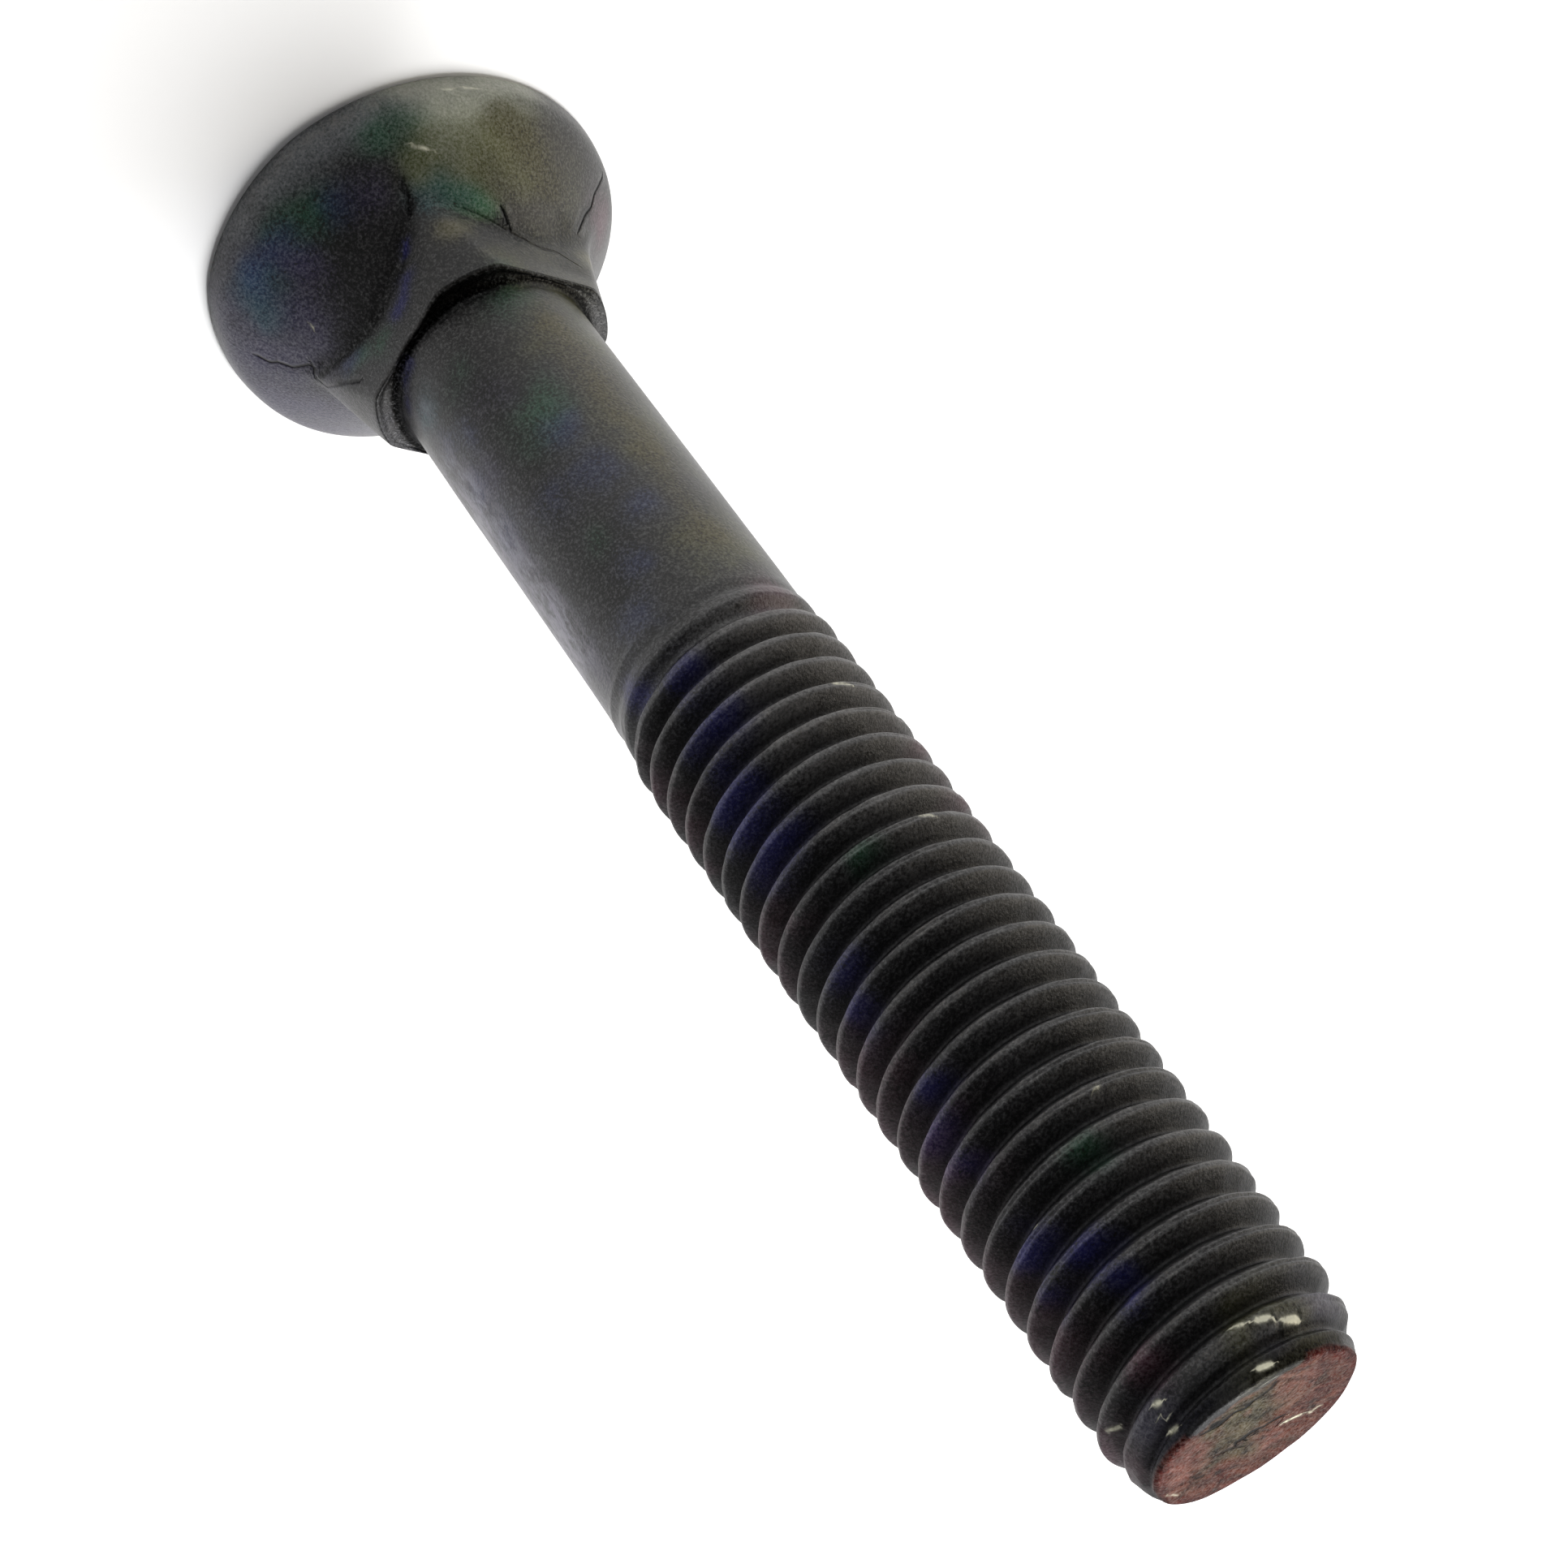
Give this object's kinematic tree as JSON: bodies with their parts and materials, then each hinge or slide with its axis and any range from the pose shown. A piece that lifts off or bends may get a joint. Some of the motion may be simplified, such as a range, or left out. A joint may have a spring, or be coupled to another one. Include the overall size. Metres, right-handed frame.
{
  "type": "plow bolt",
  "caption": "Forged steel plow bolt with a flat countersunk head, square neck, plain shank and coarse right-hand thread.",
  "frame": {"origin": "centre of the flat face of the head", "axes": "+Z along the bolt's axis, from the face of the head to the point; +X and +Y square to the flats of the neck"},
  "size_m": [0.0202, 0.0202, 0.0693],
  "materials": {
    "black_steel": "satin black oxide over forged steel"
  },
  "bodies": {
    "root": {"plow_bolt": "black_steel"}
  },
  "joints": []
}
